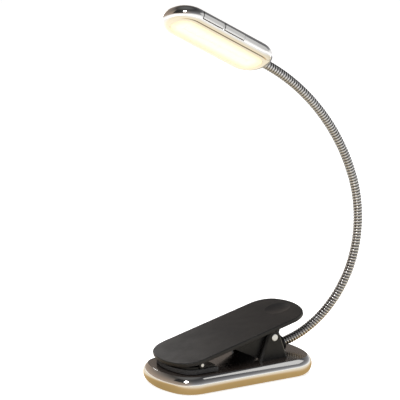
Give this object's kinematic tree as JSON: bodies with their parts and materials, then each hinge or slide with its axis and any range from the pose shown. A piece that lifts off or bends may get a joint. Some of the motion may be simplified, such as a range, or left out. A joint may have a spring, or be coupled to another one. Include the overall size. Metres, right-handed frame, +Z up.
{
  "type": "clip-on reading lamp",
  "caption": "Clip-on reading lamp with a flat chrome-rimmed base, a spring clamp with a swivel jaw, a flexible metal gooseneck and a flat light head with side keys.",
  "frame": {"origin": "middle of the foot pad's underside, on the surface that the lamp stands on", "axes": "+Z up, X along the base with the clamp's jaw at -X and the gooseneck leaving at +X, Y across the base"},
  "size_m": [0.1267, 0.0466, 0.1919],
  "materials": {
    "chrome": "polished",
    "gloss_black": "gloss",
    "matte_black": "matte",
    "grip_rubber": "matte",
    "neck_steel": "polished",
    "pin_steel": "polished",
    "spring_steel": "satin",
    "core_metal": "satin",
    "cell_pouch": "satin",
    "foam_tape": "matte",
    "circuit_board": "satin",
    "white_board": "satin",
    "chip_black": "matte",
    "wire_red": "satin",
    "led_yellow": "satin",
    "opal_lens": "satin",
    "light_pipe": "gloss"
  },
  "bodies": {
    "base": {"base_band": "chrome", "top_cover": "gloss_black", "bottom_plate": "matte_black", "case_screws": "pin_steel", "foot_pad": "grip_rubber", "battery_tape": "foam_tape", "battery": "cell_pouch", "battery_leads": "wire_red", "control_board": "circuit_board", "board_parts": "chip_black", "usb_shell": "pin_steel", "usb_tongue": "matte_black", "charge_light": "light_pipe", "post_near": "matte_black", "post_far": "matte_black", "bracket_screws": "pin_steel", "main_pin": "pin_steel", "clamp_spring": "spring_steel", "neck_socket": "matte_black", "neck_root": "neck_steel"},
    "clamp_lever": {"clamp_lever": "matte_black", "jaw_pin": "pin_steel"},
    "jaw": {"jaw_pad": "grip_rubber", "swivel_jaw": "matte_black"},
    "neck_1": {"neck_link_1": "neck_steel", "neck_core_1": "core_metal"},
    "neck_2": {"neck_link_2": "neck_steel", "neck_core_2": "core_metal"},
    "neck_3": {"neck_link_3": "neck_steel", "neck_core_3": "core_metal"},
    "neck_4": {"neck_link_4": "neck_steel", "neck_core_4": "core_metal"},
    "neck_5": {"neck_link_5": "neck_steel", "neck_core_5": "core_metal", "neck_clip": "spring_steel"},
    "head": {"head_band": "chrome", "head_top": "gloss_black", "lens": "opal_lens", "led_board": "white_board", "leds": "led_yellow", "head_screws": "pin_steel", "switches": "chip_black", "switch_board": "circuit_board"},
    "mode_key": {"key_mode": "chrome"},
    "dim_key": {"key_dim": "chrome"}
  },
  "joints": [
    {"name": "clamp_open", "type": "hinge", "parent": "base", "child": "clamp_lever", "pos_m": [0.019, 0, 0.0207], "axis": [0, 1, 0], "range_deg": [0, 24], "stiffness_Nm_per_rad": 0.3, "springref_deg": -28.65, "deforming": ["clamp_spring"]},
    {"name": "jaw_level", "type": "hinge", "parent": "clamp_lever", "child": "jaw", "pos_m": [-0.026, 0, 0.01375], "axis": [0, 1, 0], "range_deg": [-24, 0]},
    {"name": "neck_bend_1", "type": "hinge", "parent": "base", "child": "neck_1", "pos_m": [0.036, 0, 0.01364], "axis": [0, 1, 0], "range_deg": [-20, 15]},
    {"name": "neck_sway_2", "type": "hinge", "parent": "neck_1", "child": "neck_2", "pos_m": [0.06238, 0, 0.0282], "axis": [-0.6984, 0, 0.7157], "range_deg": [-20, 20]},
    {"name": "neck_bend_3", "type": "hinge", "parent": "neck_2", "child": "neck_3", "pos_m": [0.07974, 0, 0.06287], "axis": [0, 1, 0], "range_deg": [-20, 20]},
    {"name": "neck_sway_4", "type": "hinge", "parent": "neck_3", "child": "neck_4", "pos_m": [0.07617, 0, 0.09606], "axis": [-0.9409, 0, -0.3387], "range_deg": [-20, 20]},
    {"name": "neck_bend_5", "type": "hinge", "parent": "neck_4", "child": "neck_5", "pos_m": [0.06062, 0, 0.12492], "axis": [0, 1, 0], "range_deg": [-25, 25]},
    {"name": "head_twist", "type": "hinge", "parent": "neck_5", "child": "head", "pos_m": [0.02161, 0, 0.15836], "axis": [-0.8829, 0, 0.4695], "range_deg": [-60, 60]},
    {"name": "mode_key_press", "type": "slide", "parent": "head", "child": "mode_key", "axis": [-0.2058, 0.8988, -0.3871], "range_m": [0, 0.00035], "stiffness_N_per_m": 600, "springref_m": -0.0004},
    {"name": "dim_key_press", "type": "slide", "parent": "head", "child": "dim_key", "axis": [-0.2058, 0.8988, -0.3871], "range_m": [0, 0.00035], "stiffness_N_per_m": 600, "springref_m": -0.0004}
  ],
  "couplings": [
    {"joint": "jaw_level", "follows": "clamp_open", "ratio": -1}
  ]
}
